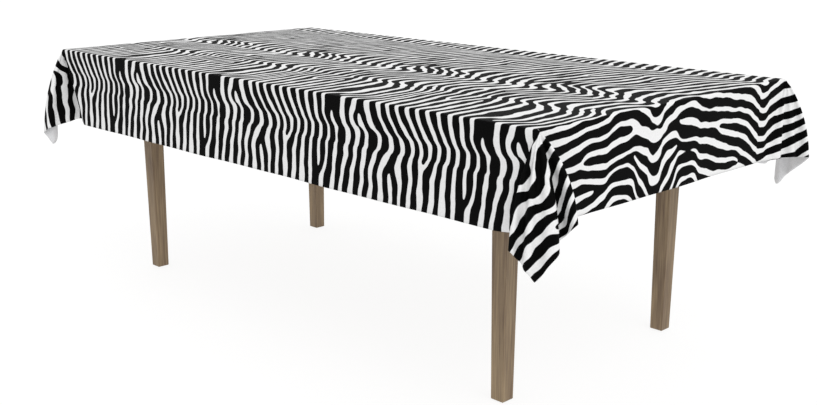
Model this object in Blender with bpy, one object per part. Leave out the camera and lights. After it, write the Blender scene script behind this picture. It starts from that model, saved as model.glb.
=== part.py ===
"""A dining table dressed with a tablecloth: the cloth, and the bolted wooden table that it hangs over.

Metres, +Z up. The origin is on the floor under the middle of the table. The table's length runs
along X and its width along Y. "Front" is the side towards -Y and "right" is the end towards +X.
"""

import math

import bmesh
import bpy
from mathutils import Vector

# Overall sizes
TABLE_HEIGHT = 0.740  # floor to the cloth's upper face
TOP_LENGTH = 2.019
TOP_WIDTH = 1.063
TOP_THICKNESS = 0.025
TOP_CORNER_RADIUS = 0.010
TOP_EDGE_RADIUS = 0.003
GAP = 0.0003  # running clearance between neighbours that touch

# Tablecloth
CLOTH_THICKNESS = 0.001
SIDE_DROP = 0.241  # hang over the long sides
END_DROP = 0.215  # hang over the ends
CREASE_REACH = 0.120  # where a corner flute leaves the flat drop, measured along the hem
FLUTE_REACH = 0.088  # how far a corner flute stands out along the diagonal
TIP_DROP = 0.316  # hang of the cloth's own corners
FLUTE_COLUMNS = 16
FOLD_STEPS = 3

# Legs
LEG_SIDE = 0.050
LEG_FOOT_SIDE = 0.040
LEG_BLOCK_HEIGHT = 0.105  # the straight stretch above the taper
LEG_INSET_END = 0.210  # table top's edge to the leg's outer face
LEG_INSET_SIDE = 0.155
LEG_CHAMFER = 0.016
LEG_EDGE_ROUND = 0.0015
GLIDE_RADIUS = 0.011
GLIDE_THICKNESS = 0.003
GLIDE_PIN_RADIUS = 0.002
GLIDE_PIN_LENGTH = 0.010

# Rails under the top
APRON_HEIGHT = 0.090
APRON_THICKNESS = 0.020
APRON_SETBACK = 0.006
CROSS_RAIL_SPACING = 0.520
CROSS_RAIL_THICKNESS = 0.020
CROSS_RAIL_HEIGHT = 0.060
TENON_LENGTH = 0.010
TENON_HEIGHT = 0.040
TENON_THICKNESS = 0.010
RAIL_EDGE_ROUND = 0.001

# Corner joints
BLOCK_HEIGHT = 0.070
BLOCK_THICKNESS = 0.030
BOLT_RADIUS = 0.004
BOLT_GRIP_IN_LEG = 0.040
BOLT_PAST_NUT = 0.006  # thread left standing out of the nut
WASHER_RADIUS = 0.0085
WASHER_THICKNESS = 0.0016
NUT_ACROSS_FLATS = 0.013
NUT_HEIGHT = 0.0065

# Wood screws
SCREW_RADIUS = 0.002
SCREW_HEAD_RADIUS = 0.004
SCREW_HEAD_HEIGHT = 0.0025
BLOCK_SCREW_COVER = 0.0013  # wood left between a block screw's tip and the rail's outer face
BLOCK_SCREW_FROM_END = 0.012  # the block's end face to the screw's axis, along the apron
BLOCK_SCREW_SEAT = 0.007  # wood left under the head

# Wooden buttons that hold the top down
BUTTON_WIDTH = 0.028
BUTTON_REACH = 0.034
BUTTON_HEIGHT = 0.020
BUTTON_TONGUE_LENGTH = 0.008
BUTTON_TONGUE_HEIGHT = 0.008
BUTTON_SLOT_BELOW_RAIL_TOP = 0.010
BUTTON_SCREW_COVER = 0.009  # wood left between a button screw's tip and the top's upper face
BUTTON_SCREW_SEAT = 0.012
BUTTON_SPACING_SIDE = 0.600

ROUND_SIDES = 16
SCREW_SIDES = 12
CUT_MARGIN = 0.012  # how far a cutter runs past the face that it enters

CLOTH_REACH = CLOTH_THICKNESS + GAP
TOP_FACE_Z = TABLE_HEIGHT - CLOTH_REACH
TOP_UNDERSIDE_Z = TOP_FACE_Z - TOP_THICKNESS
RAIL_TOP_Z = TOP_UNDERSIDE_Z - GAP
LEG_BOTTOM_Z = GLIDE_THICKNESS + GAP
LEG_OUTER_X = TOP_LENGTH / 2 - LEG_INSET_END
LEG_OUTER_Y = TOP_WIDTH / 2 - LEG_INSET_SIDE
RAIL_INNER_INSET = APRON_SETBACK + APRON_THICKNESS  # the leg's outer face to the rail's inner face
CROSS_RAIL_PLACES = (-CROSS_RAIL_SPACING / 2, CROSS_RAIL_SPACING / 2)
CROSS_RAIL_MIDDLE_Z = RAIL_TOP_Z - CROSS_RAIL_HEIGHT / 2
BLOCK_MIDDLE_Z = RAIL_TOP_Z - BLOCK_HEIGHT / 2
BOLT_Z = BLOCK_MIDDLE_Z
BLOCK_SCREW_Z = BLOCK_MIDDLE_Z - BLOCK_HEIGHT / 5
BOLT_STACK = BLOCK_THICKNESS + WASHER_THICKNESS + NUT_HEIGHT + 3 * GAP
BOLT_LENGTH = BOLT_GRIP_IN_LEG + BOLT_STACK + BOLT_PAST_NUT
BLOCK_SCREW_LENGTH = BLOCK_SCREW_SEAT + GAP + APRON_THICKNESS - BLOCK_SCREW_COVER
BUTTON_SCREW_LENGTH = BUTTON_SCREW_SEAT + TOP_THICKNESS - BUTTON_SCREW_COVER

# A plane across a corner at 45 degrees, as the sum of the distances inwards from the leg's outer faces
BLOCK_NEAR_SUM = 2 * LEG_SIDE - LEG_CHAMFER + GAP * math.sqrt(2)
BLOCK_FAR_SUM = BLOCK_NEAR_SUM + BLOCK_THICKNESS * math.sqrt(2)
BLOCK_LONG_LEG = BLOCK_FAR_SUM - RAIL_INNER_INSET  # the block's inner face meets a rail this far in
CORNERS = {
    "front_left": (-1, -1),
    "front_right": (1, -1),
    "back_right": (1, 1),
    "back_left": (-1, 1),
}


def clear_scene():
    for thing in list(bpy.data.objects):
        bpy.data.objects.remove(thing, do_unlink=True)


def make_material(name, colour, roughness, metallic=0.0):
    material = bpy.data.materials.new(name)
    material.use_nodes = True
    shader = material.node_tree.nodes["Principled BSDF"]
    shader.inputs["Base Color"].default_value = (*colour, 1.0)
    shader.inputs["Roughness"].default_value = roughness
    shader.inputs["Metallic"].default_value = metallic
    return material


def make_object(name, points, faces, material):
    """A mesh object whose origin is the middle of its box, with its faces turned outwards."""
    points = [Vector(point) for point in points]
    low = Vector(map(min, zip(*points)))
    high = Vector(map(max, zip(*points)))
    middle = (low + high) / 2
    mesh = bpy.data.meshes.new(name)
    mesh.from_pydata([point - middle for point in points], [], faces)
    shape = bmesh.new()
    shape.from_mesh(mesh)
    bmesh.ops.recalc_face_normals(shape, faces=shape.faces)
    shape.to_mesh(mesh)
    shape.free()
    if material:
        mesh.materials.append(material)
    made = bpy.data.objects.new(name, mesh)
    made.location = middle
    bpy.context.scene.collection.objects.link(made)
    return made


def prism(name, outline, low, high, material, place=None):
    """An outline in plan, carried from the height low to the height high. place moves each point."""
    count = len(outline)
    points = [Vector((x, y, z)) for z in (low, high) for x, y in outline]
    if place:
        points = [place(point) for point in points]
    sides = [(i, (i + 1) % count, (i + 1) % count + count, i + count) for i in range(count)]
    faces = sides + [tuple(range(count)), tuple(range(count, 2 * count))]
    return make_object(name, points, faces, material)


def box(name, low, high, material=None):
    outline = [(low[0], low[1]), (high[0], low[1]), (high[0], high[1]), (low[0], high[1])]
    return prism(name, outline, low[2], high[2], material)


def turned(name, profile, start, along, material=None, sides=ROUND_SIDES):
    """A profile of (distance along, radius) turned about the axis from start. Its ends are flat."""
    turn = Vector(along).to_track_quat("Z", "Y").to_matrix()
    points = []
    for distance, radius in profile:
        for step in range(sides):
            angle = 2 * math.pi * (step + 0.5) / sides
            ring = Vector((radius * math.cos(angle), radius * math.sin(angle), distance))
            points.append(Vector(start) + turn @ ring)
    faces = []
    for ring in range(len(profile) - 1):
        for step in range(sides):
            here = ring * sides + step
            beside = ring * sides + (step + 1) % sides
            faces.append((here, beside, beside + sides, here + sides))
    faces.append(tuple(range(sides)))
    faces.append(tuple(range(len(points) - sides, len(points))))
    made = make_object(name, points, faces, material)
    made.data.shade_smooth()
    made.data.set_sharp_from_angle(angle=math.radians(35))
    return made


def cut(body, cutter):
    """Takes the cutter's shape out of the body and keeps the cutter as a hidden guide."""
    cutter.hide_render = True
    cutter.display_type = "WIRE"
    boolean = body.modifiers.new("cut " + cutter.name, "BOOLEAN")
    boolean.operation = "DIFFERENCE"
    boolean.solver = "EXACT"
    boolean.object = cutter


def bore(body, radius, start, along, length):
    hole = turned(body.name + "_hole", [(0, radius), (length, radius)], start, along)
    cut(body, hole)


def round_edges(body, width, steps=1):
    bevel = body.modifiers.new("eased edges", "BEVEL")
    bevel.width = width
    bevel.segments = steps
    bevel.limit_method = "ANGLE"
    bevel.angle_limit = math.radians(50)


def rounded_outline(half_x, half_y, radius, steps=4):
    """A rectangle with round corners, counter-clockwise from the right end of the front side."""
    outline = []
    for quarter, (side_x, side_y) in enumerate(((1, -1), (1, 1), (-1, 1), (-1, -1))):
        for step in range(steps + 1):
            angle = math.radians(90 * (quarter - 1 + step / steps))
            x = side_x * (half_x - radius) + radius * math.cos(angle)
            y = side_y * (half_y - radius) + radius * math.sin(angle)
            outline.append((x, y))
    return outline


def corner_place(side_x, side_y):
    """Turns (inwards from the leg's end face, inwards from its side face, height) to x, y, z."""
    return lambda point: Vector(
        (side_x * (LEG_OUTER_X - point[0]), side_y * (LEG_OUTER_Y - point[1]), point[2])
    )


# ---------------------------------------------------------------- table top

def make_table_top(wood):
    outline = rounded_outline(TOP_LENGTH / 2, TOP_WIDTH / 2, TOP_CORNER_RADIUS)
    top = prism("table_top", outline, TOP_UNDERSIDE_Z, TOP_FACE_Z, wood)
    round_edges(top, TOP_EDGE_RADIUS, steps=2)
    return top


# ---------------------------------------------------------------- legs

def make_leg(corner, wood):
    side_x, side_y = CORNERS[corner]
    place = corner_place(side_x, side_y)
    taper = (LEG_SIDE - LEG_FOOT_SIDE) / 2
    taper_top = RAIL_TOP_Z - LEG_BLOCK_HEIGHT
    sections = [
        (taper, LEG_SIDE - taper, LEG_BOTTOM_Z),
        (0.0, LEG_SIDE, taper_top),
        (0.0, LEG_SIDE, RAIL_TOP_Z),
    ]
    points = []
    for low, high, height in sections:
        for a, b in ((low, low), (high, low), (high, high), (low, high)):
            points.append(place((a, b, height)))
    faces = [(0, 1, 2, 3), (8, 9, 10, 11)]
    for ring in (0, 4):
        for step in range(4):
            beside = (step + 1) % 4
            faces.append((ring + step, ring + beside, ring + beside + 4, ring + step + 4))
    leg = make_object("leg_" + corner, points, faces, wood)
    round_edges(leg, LEG_EDGE_ROUND)

    # The inner edge is planed off at 45 degrees, so that the corner block draws the leg in.
    near = 2 * LEG_SIDE - LEG_CHAMFER
    far = near + LEG_SIDE
    wedge = [
        (near / 2 - LEG_SIDE, near / 2 + LEG_SIDE),
        (near / 2 + LEG_SIDE, near / 2 - LEG_SIDE),
        (far, far),
    ]
    below = RAIL_TOP_Z - APRON_HEIGHT
    above = RAIL_TOP_Z + LEG_SIDE
    cut(leg, prism(leg.name + "_planed", wedge, below, above, None, place))

    diagonal = Vector((side_x, side_y, 0)).normalized()
    seat = place((near / 2, near / 2, BOLT_Z))
    start = seat - diagonal * CUT_MARGIN
    bore(leg, BOLT_RADIUS + GAP, start, diagonal, CUT_MARGIN + BOLT_GRIP_IN_LEG + GAP)

    foot = place((LEG_SIDE / 2, LEG_SIDE / 2, LEG_BOTTOM_Z - CUT_MARGIN))
    bore(leg, GLIDE_PIN_RADIUS + GAP, foot, (0, 0, 1), CUT_MARGIN + GLIDE_PIN_LENGTH)


def make_glide(corner, nylon):
    place = corner_place(*CORNERS[corner])
    centre = place((LEG_SIDE / 2, LEG_SIDE / 2, 0.0))
    rim = GLIDE_THICKNESS / 3
    profile = [
        (0.0, GLIDE_RADIUS - rim),
        (rim, GLIDE_RADIUS),
        (GLIDE_THICKNESS, GLIDE_RADIUS),
        (GLIDE_THICKNESS, GLIDE_PIN_RADIUS),
        (GLIDE_THICKNESS + GLIDE_PIN_LENGTH, GLIDE_PIN_RADIUS),
    ]
    turned("glide_" + corner, profile, centre, (0, 0, 1), nylon)


# ---------------------------------------------------------------- aprons

class Apron:
    """One rail between two legs: where it runs, and how to place points along, inwards and up."""

    def __init__(self, name, along_x, side):
        self.name = name
        self.along_x = along_x
        self.side = side
        half_frame = LEG_OUTER_X if along_x else LEG_OUTER_Y
        self.outer = (LEG_OUTER_Y if along_x else LEG_OUTER_X) - APRON_SETBACK
        self.half_length = half_frame - LEG_SIDE - GAP

    def place(self, point):
        """(along the rail, inwards from its outer face, height) to x, y, z."""
        along, inwards, height = point
        across = self.side * (self.outer - inwards)
        return Vector((along, across, height) if self.along_x else (across, along, height))

    def inwards(self):
        return Vector((0, -self.side, 0) if self.along_x else (-self.side, 0, 0))

    def block(self, name, low, high, material=None):
        """A box between two corners given along the rail, inwards and up."""
        outline = [(low[0], low[1]), (high[0], low[1]), (high[0], high[1]), (low[0], high[1])]
        return prism(name, outline, low[2], high[2], material, self.place)


APRONS = {
    "front": Apron("apron_front", True, -1),
    "back": Apron("apron_back", True, 1),
    "left": Apron("apron_left", False, -1),
    "right": Apron("apron_right", False, 1),
}


def button_places(side):
    """How far along its rail each button sits."""
    if side in ("front", "back"):
        return (-BUTTON_SPACING_SIDE, 0.0, BUTTON_SPACING_SIDE)
    return (0.0,)


def block_screw_along(apron):
    """How far along a rail its two corner-block screws are, as a distance from the rail's middle."""
    block_end = BLOCK_LONG_LEG - RAIL_INNER_INSET - BLOCK_SCREW_FROM_END
    rail_end = LEG_SIDE - RAIL_INNER_INSET
    return apron.half_length + GAP + rail_end - block_end


def make_apron(side, wood):
    apron = APRONS[side]
    low = (-apron.half_length, 0.0, RAIL_TOP_Z - APRON_HEIGHT)
    high = (apron.half_length, APRON_THICKNESS, RAIL_TOP_Z)
    rail = apron.block(apron.name, low, high, wood)
    round_edges(rail, RAIL_EDGE_ROUND)

    slot_top = RAIL_TOP_Z - BUTTON_SLOT_BELOW_RAIL_TOP
    for number, along in enumerate(button_places(side)):
        half = BUTTON_WIDTH / 2 + GAP
        deep = APRON_THICKNESS - BUTTON_TONGUE_LENGTH - GAP
        slot_low = (along - half, deep, slot_top - BUTTON_TONGUE_HEIGHT)
        slot_high = (along + half, APRON_THICKNESS + CUT_MARGIN, slot_top)
        cut(rail, apron.block(f"{rail.name}_slot_{number}", slot_low, slot_high))

    if apron.along_x:
        for number, along in enumerate(CROSS_RAIL_PLACES):
            half = TENON_THICKNESS / 2 + GAP
            middle = CROSS_RAIL_MIDDLE_Z
            tall = TENON_HEIGHT / 2 + GAP
            mortise_low = (along - half, APRON_THICKNESS - TENON_LENGTH - GAP, middle - tall)
            mortise_high = (along + half, APRON_THICKNESS + CUT_MARGIN, middle + tall)
            cut(rail, apron.block(f"{rail.name}_mortise_{number}", mortise_low, mortise_high))

    depth = BLOCK_SCREW_LENGTH - BLOCK_SCREW_SEAT - GAP
    for end in (-1, 1):
        start = apron.place((end * block_screw_along(apron), APRON_THICKNESS + CUT_MARGIN, BLOCK_SCREW_Z))
        bore(rail, SCREW_RADIUS + GAP, start, -apron.inwards(), CUT_MARGIN + depth + GAP)


def make_cross_rail(number, wood):
    along = CROSS_RAIL_PLACES[number]
    inner = LEG_OUTER_Y - RAIL_INNER_INSET
    half = CROSS_RAIL_THICKNESS / 2
    shoulder = inner - GAP
    end = inner + TENON_LENGTH
    low = CROSS_RAIL_MIDDLE_Z - CROSS_RAIL_HEIGHT / 2
    high = CROSS_RAIL_MIDDLE_Z + CROSS_RAIL_HEIGHT / 2
    name = ("cross_rail_left", "cross_rail_right")[number]
    rail = box(name, (along - half, -end, low), (along + half, end, high), wood)
    for side in (-1, 1):
        near, far = sorted((side * shoulder, side * (end + CUT_MARGIN)))
        tall = TENON_HEIGHT / 2
        thin = TENON_THICKNESS / 2
        wide = half + CUT_MARGIN
        waste = {
            "above": ((-wide, CROSS_RAIL_MIDDLE_Z + tall), (wide, high + CUT_MARGIN)),
            "below": ((-wide, low - CUT_MARGIN), (wide, CROSS_RAIL_MIDDLE_Z - tall)),
            "left": ((-wide, low - CUT_MARGIN), (-thin, high + CUT_MARGIN)),
            "right": ((thin, low - CUT_MARGIN), (wide, high + CUT_MARGIN)),
        }
        for where, ((x0, z0), (x1, z1)) in waste.items():
            guide = box(f"{name}_{where}_{side}", (along + x0, near, z0), (along + x1, far, z1))
            cut(rail, guide)


# ---------------------------------------------------------------- corner joints

def make_corner_block(corner, wood):
    side_x, side_y = CORNERS[corner]
    place = corner_place(side_x, side_y)
    near = BLOCK_NEAR_SUM
    far = BLOCK_FAR_SUM
    edge = RAIL_INNER_INSET + GAP
    outline = [(edge, near - edge), (edge, far - edge), (far - edge, edge), (near - edge, edge)]
    low = BLOCK_MIDDLE_Z - BLOCK_HEIGHT / 2
    block = prism("corner_block_" + corner, outline, low, low + BLOCK_HEIGHT, wood, place)

    diagonal = Vector((side_x, side_y, 0)).normalized()
    start = place((far / 2, far / 2, BOLT_Z)) - diagonal * CUT_MARGIN
    bore(block, BOLT_RADIUS + GAP, start, diagonal, BLOCK_THICKNESS + 2 * CUT_MARGIN)
    for screw in block_screws(corner):
        head = screw["seat"] + screw["inwards"] * (SCREW_HEAD_HEIGHT + BLOCK_THICKNESS)
        bore(block, SCREW_RADIUS + GAP, head, -screw["inwards"], BLOCK_THICKNESS * 2 + CUT_MARGIN)
        wide = SCREW_HEAD_RADIUS + GAP
        bore(block, wide, head, -screw["inwards"], SCREW_HEAD_HEIGHT + BLOCK_THICKNESS + GAP)


def block_screws(corner):
    """Where the underside of each block screw's head sits, and the way from the rail into the room."""
    side_x, side_y = CORNERS[corner]
    found = []
    for side in (("front" if side_y < 0 else "back"), ("left" if side_x < 0 else "right")):
        apron = APRONS[side]
        end = side_x if apron.along_x else side_y
        seat_inwards = APRON_THICKNESS + GAP + BLOCK_SCREW_SEAT
        seat = apron.place((end * block_screw_along(apron), seat_inwards, BLOCK_SCREW_Z))
        found.append({"side": side, "seat": seat, "inwards": apron.inwards()})
    return found


def make_screw(name, seat, towards_head, length, steel):
    """A pan-head wood screw, whose head's underside is at seat."""
    profile = [
        (-length, SCREW_RADIUS / 4),
        (-length + 2 * SCREW_RADIUS, SCREW_RADIUS),
        (0.0, SCREW_RADIUS),
        (0.0, SCREW_HEAD_RADIUS),
        (SCREW_HEAD_HEIGHT / 2, SCREW_HEAD_RADIUS),
        (SCREW_HEAD_HEIGHT, SCREW_HEAD_RADIUS - SCREW_HEAD_HEIGHT / 2),
    ]
    turned(name, profile, seat, towards_head, steel, sides=SCREW_SIDES)


def make_block_screws(corner, steel):
    for screw in block_screws(corner):
        name = f"block_screw_{corner}_{screw['side']}"
        make_screw(name, screw["seat"], screw["inwards"], BLOCK_SCREW_LENGTH, steel)


def make_hanger_bolt(corner, steel):
    """The bolt is fixed in the leg and runs inwards through the block, a washer and a nut."""
    side_x, side_y = CORNERS[corner]
    place = corner_place(side_x, side_y)
    inwards = Vector((-side_x, -side_y, 0)).normalized()
    leg_face = place((BLOCK_NEAR_SUM / 2, BLOCK_NEAR_SUM / 2, BOLT_Z)) - inwards * GAP
    block_face = place((BLOCK_FAR_SUM / 2, BLOCK_FAR_SUM / 2, BOLT_Z))

    chamfer = BOLT_RADIUS / 4
    start = leg_face - inwards * BOLT_GRIP_IN_LEG
    profile = [
        (0.0, BOLT_RADIUS - chamfer),
        (chamfer, BOLT_RADIUS),
        (BOLT_LENGTH - chamfer, BOLT_RADIUS),
        (BOLT_LENGTH, BOLT_RADIUS - chamfer),
    ]
    turned("hanger_bolt_" + corner, profile, start, inwards, steel)

    washer = turned(
        "washer_" + corner,
        [(0.0, WASHER_RADIUS), (WASHER_THICKNESS, WASHER_RADIUS)],
        block_face + inwards * GAP,
        inwards,
        steel,
    )
    through = 2 * CUT_MARGIN + NUT_HEIGHT
    bore(washer, BOLT_RADIUS + GAP, block_face - inwards * CUT_MARGIN, inwards, through)

    nut_start = block_face + inwards * (WASHER_THICKNESS + 2 * GAP)
    corner_radius = NUT_ACROSS_FLATS / math.sqrt(3)
    slope = NUT_HEIGHT / 8
    profile = [
        (0.0, corner_radius),
        (NUT_HEIGHT - slope, corner_radius),
        (NUT_HEIGHT, corner_radius - slope),
    ]
    nut = turned("nut_" + corner, profile, nut_start, inwards, steel, sides=6)
    bore(nut, BOLT_RADIUS + GAP, nut_start - inwards * CUT_MARGIN, inwards, through)


# ---------------------------------------------------------------- buttons that hold the top

def make_button(side, number, wood, steel, top):
    apron = APRONS[side]
    along = button_places(side)[number]
    slot_top = RAIL_TOP_Z - BUTTON_SLOT_BELOW_RAIL_TOP
    tongue_top = slot_top - GAP
    tongue_low = slot_top - BUTTON_TONGUE_HEIGHT + GAP
    body_top = TOP_UNDERSIDE_Z - GAP
    body_low = body_top - BUTTON_HEIGHT
    face = APRON_THICKNESS + GAP
    tip = APRON_THICKNESS - BUTTON_TONGUE_LENGTH
    reach = face + BUTTON_REACH
    outline = [
        (tip, tongue_low),
        (face, tongue_low),
        (face, body_low),
        (reach, body_low),
        (reach, body_top),
        (face, body_top),
        (face, tongue_top),
        (tip, tongue_top),
    ]
    half = BUTTON_WIDTH / 2
    name = f"button_{side}" + (f"_{number + 1}" if len(button_places(side)) > 1 else "")

    def place(point):
        return apron.place((along + point[2], point[0], point[1]))

    button = prism(name, outline, -half, half, wood, place)

    screw_inwards = face + BUTTON_REACH / 2
    axis = apron.place((along, screw_inwards, 0.0))
    seat = Vector((axis.x, axis.y, body_top - BUTTON_SCREW_SEAT))
    below = Vector((axis.x, axis.y, body_low - CUT_MARGIN))
    bore(button, SCREW_RADIUS + GAP, below, (0, 0, 1), BUTTON_HEIGHT + 2 * CUT_MARGIN)
    bore(button, SCREW_HEAD_RADIUS + GAP, below, (0, 0, 1), seat.z - below.z)

    make_screw("screw_" + name, seat - Vector((0, 0, GAP)), (0, 0, -1), BUTTON_SCREW_LENGTH, steel)
    into_top = BUTTON_SCREW_LENGTH - BUTTON_SCREW_SEAT
    hole_start = Vector((axis.x, axis.y, TOP_UNDERSIDE_Z - CUT_MARGIN))
    bore(top, SCREW_RADIUS + GAP, hole_start, (0, 0, 1), CUT_MARGIN + into_top + GAP)


# ---------------------------------------------------------------- tablecloth

def flute_columns(side_x, side_y):
    """Top and hem points of the cloth's lines across one corner, from the end crease to the side crease.

    The flute's hem bulges along the diagonal by FLUTE_REACH * (1 - t * t) ** 2, where t runs from -1
    at one crease to 1 at the other, and sinks from the flat hems to TIP_DROP at t = 0.
    """
    outer_x = TOP_LENGTH / 2 + CLOTH_REACH
    outer_y = TOP_WIDTH / 2 + CLOTH_REACH
    radius = TOP_CORNER_RADIUS + CLOTH_REACH
    columns = []
    for step in range(FLUTE_COLUMNS + 1):
        t = 2 * step / FLUTE_COLUMNS - 1
        angle = math.radians(45 * (1 + t))
        normal = Vector((math.cos(angle), math.sin(angle), 0))
        top = Vector((outer_x - radius, outer_y - radius, 0)) + radius * normal
        along_end = max(-t, 0) * CREASE_REACH
        along_side = max(t, 0) * CREASE_REACH
        bulge = FLUTE_REACH * (1 - t * t) ** 2 / math.sqrt(2)
        flat_drop = END_DROP if t < 0 else SIDE_DROP
        drop = flat_drop + (TIP_DROP - flat_drop) * (1 - abs(t)) ** 1.5
        hem = Vector((outer_x - along_side + bulge, outer_y - along_end + bulge, -drop))
        turn = Vector((side_x, side_y, 1))
        columns.append((top * turn, hem * turn, normal * turn))
    return columns


def make_tablecloth(cloth):
    """One sheet over the top, folded over its edges, with a flute at each corner, given a thickness."""
    around = []
    for corner in ("front_right", "back_right", "back_left", "front_left"):
        side_x, side_y = CORNERS[corner]
        columns = flute_columns(side_x, side_y)
        around += columns if side_x == side_y else columns[::-1]

    fold = TOP_EDGE_RADIUS + CLOTH_REACH
    points = []
    for step in range(FOLD_STEPS + 1):
        angle = math.radians(90 * step / FOLD_STEPS)
        for top, _, normal in around:
            inset = fold * (1 - math.sin(angle))
            height = TABLE_HEIGHT - fold * (1 - math.cos(angle))
            points.append(top - normal * inset + Vector((0, 0, height)))
    points += [hem + Vector((0, 0, TABLE_HEIGHT)) for _, hem, _ in around]

    count = len(around)
    faces = [tuple(range(count))]
    for ring in range(FOLD_STEPS + 1):
        for step in range(count):
            here = ring * count + step
            beside = ring * count + (step + 1) % count
            faces.append((here, here + count, beside + count, beside))
    sheet = make_object("tablecloth", points, faces, cloth)
    if sheet.data.polygons[0].normal.z < 0:
        sheet.data.flip_normals()
    wall = sheet.modifiers.new("thickness", "SOLIDIFY")
    wall.thickness = CLOTH_THICKNESS
    wall.offset = -1
    wall.use_even_offset = True


# ---------------------------------------------------------------- the whole

def main():
    clear_scene()
    printed = make_material("printed_cloth", (0.42, 0.42, 0.42), 0.55)
    board = make_material("board_wood", (0.36, 0.26, 0.17), 0.6)
    leg_wood = make_material("leg_wood", (0.25, 0.18, 0.115), 0.6)
    rail_wood = make_material("rail_wood", (0.27, 0.19, 0.12), 0.65)
    block_wood = make_material("block_wood", (0.45, 0.34, 0.21), 0.7)
    steel = make_material("zinc_steel", (0.55, 0.55, 0.56), 0.35, 1.0)
    nylon = make_material("glide_nylon", (0.05, 0.045, 0.04), 0.5)

    make_tablecloth(printed)
    top = make_table_top(board)
    for corner in CORNERS:
        make_leg(corner, leg_wood)
        make_glide(corner, nylon)
        make_corner_block(corner, block_wood)
        make_block_screws(corner, steel)
        make_hanger_bolt(corner, steel)
    for side in APRONS:
        make_apron(side, rail_wood)
        for number in range(len(button_places(side))):
            make_button(side, number, block_wood, steel, top)
    for number in range(len(CROSS_RAIL_PLACES)):
        make_cross_rail(number, rail_wood)


main()
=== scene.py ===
# %% [markdown]
# # A table dressed with a zebra-print cloth
#
# The frame is a dining table with a plain closed solid where its tablecloth hangs. This lesson
# puts a real sheet over it: one flat piece of cloth, folded over the edges of the top, with a
# hanging flute at each corner. Its area stays that of the flat cloth to about one hundredth, and
# every point of it knows where it was on the flat cloth, so the print follows the folds as ink
# does. The table's own pieces keep their shapes and only get their woods, metal and nylon.

# %% Load the frame
import math

import bpy
import numpy as np
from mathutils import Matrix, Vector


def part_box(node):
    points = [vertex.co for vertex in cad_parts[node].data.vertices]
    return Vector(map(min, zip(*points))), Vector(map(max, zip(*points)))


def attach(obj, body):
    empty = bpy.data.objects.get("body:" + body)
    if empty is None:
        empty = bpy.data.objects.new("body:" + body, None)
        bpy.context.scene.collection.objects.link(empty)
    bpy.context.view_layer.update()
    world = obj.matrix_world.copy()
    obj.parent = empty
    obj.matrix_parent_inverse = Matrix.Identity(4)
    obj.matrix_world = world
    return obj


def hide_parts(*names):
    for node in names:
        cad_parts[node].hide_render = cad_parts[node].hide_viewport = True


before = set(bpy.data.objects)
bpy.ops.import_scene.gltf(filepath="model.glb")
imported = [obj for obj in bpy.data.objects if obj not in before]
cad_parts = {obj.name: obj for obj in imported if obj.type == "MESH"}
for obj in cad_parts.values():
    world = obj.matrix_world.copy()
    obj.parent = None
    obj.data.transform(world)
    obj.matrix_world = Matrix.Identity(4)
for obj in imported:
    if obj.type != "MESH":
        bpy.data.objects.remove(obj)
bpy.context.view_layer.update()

# %% [markdown]
# ## Sizes
#
# The sheet takes its sizes from the table that carries it. The flat sheet could be given first
# and the drops worked out, but a drop is what a maker measures on the table. So the top's box gives
# the edges that the cloth turns over, the two drops are named, and the flat sheet is the top plus
# its two drops, each way.

# %% Measure the top and cut the cloth
top_low, top_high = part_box("table_top")
CLOTH_CLEARANCE = 0.0013  # top's edge to the outside of the cloth
HALF_LENGTH = top_high.x + CLOTH_CLEARANCE
HALF_WIDTH = top_high.y + CLOTH_CLEARANCE
CLOTH_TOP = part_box("tablecloth")[1].z
SIDE_DROP = 0.241
END_DROP = 0.215

# %% [markdown]
# ## The corners
#
# At a corner the two drops meet in a square of spare cloth, and that square hangs as a flute.
# All of its creases run from the one point where the cloth leaves the corner of the top, so
# a point of the cloth stays about as far from that corner as it was on the flat sheet, and the
# flute is close to a curve drawn on a ball. The curve starts in the long drop, ends in the end
# drop, and has the length of the arc between them.
#
# A cloth simulation would find such folds too, but not these ones. Here the curve is a rope of
# even links that is laid through a few chosen folds, which gives each corner its own flute, and
# the same one on every run. Each fold is named by where it lies in the arc and how far it swings.

# %% Choose the folds of each corner
FLUTE_COLUMNS = 121
CREASE_REACH = 28  # degrees of each flat drop that the flute takes along
# Each corner: which end and which side, then its folds. A fold is its turn from the long drop in
# degrees, and how far it swings across and out, as shares of its distance from the corner.
FOLDS = {
    "front_right": (1, -1, [(-2, 0.09, -0.12), (24, -0.226, 0.19), (31, -0.128, 0.11),
                            (36, -0.085, 0.213), (42, -0.003, 0.153), (47.5, 0.062, 0.225),
                            (54, 0.165, 0.23), (64, 0.225, 0.06), (75, 0.338, 0.24),
                            (98, 0.27, -0.08)]),
    "back_right": (1, 1, [(-4, 0.0, -0.20), (26, -0.38, 0.10), (34, -0.33, 0.10),
                          (42, -0.194, 0.086), (50, -0.165, 0.155), (56, -0.10, 0.225),
                          (68, 0.13, 0.295), (80, 0.13, 0.17), (98, 0.22, -0.06)]),
    "back_left": (-1, 1, [(-4, -0.03, -0.17), (23, -0.26, 0.17), (44, 0.02, 0.07),
                          (67, 0.27, 0.19), (95, 0.06, -0.17)]),
    "front_left": (-1, -1, [(1.5, 0.10, -0.13), (9, 0.0, -0.03), (19.5, -0.13, 0.12),
                            (30.5, -0.135, 0.215), (42, -0.077, 0.135), (50, 0.06, 0.15),
                            (58, 0.19, 0.16), (70, 0.13, -0.03), (82, 0.28, 0.07),
                            (96, 0.24, -0.12)]),
}
fold_turns = np.linspace(-CREASE_REACH, 90 + CREASE_REACH, FLUTE_COLUMNS)
print("folds", {corner: len(folds) for corner, (_, _, folds) in FOLDS.items()})

# %% [markdown]
# The rope's two ends lie flat in the drops beside the corner. Between them three small rules
# shape it: its links keep one length, folds that come close push each other away, and sharp
# bends wear off. Springs would do the same more slowly; moving each link straight to its length
# needs only a few passes.

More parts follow.
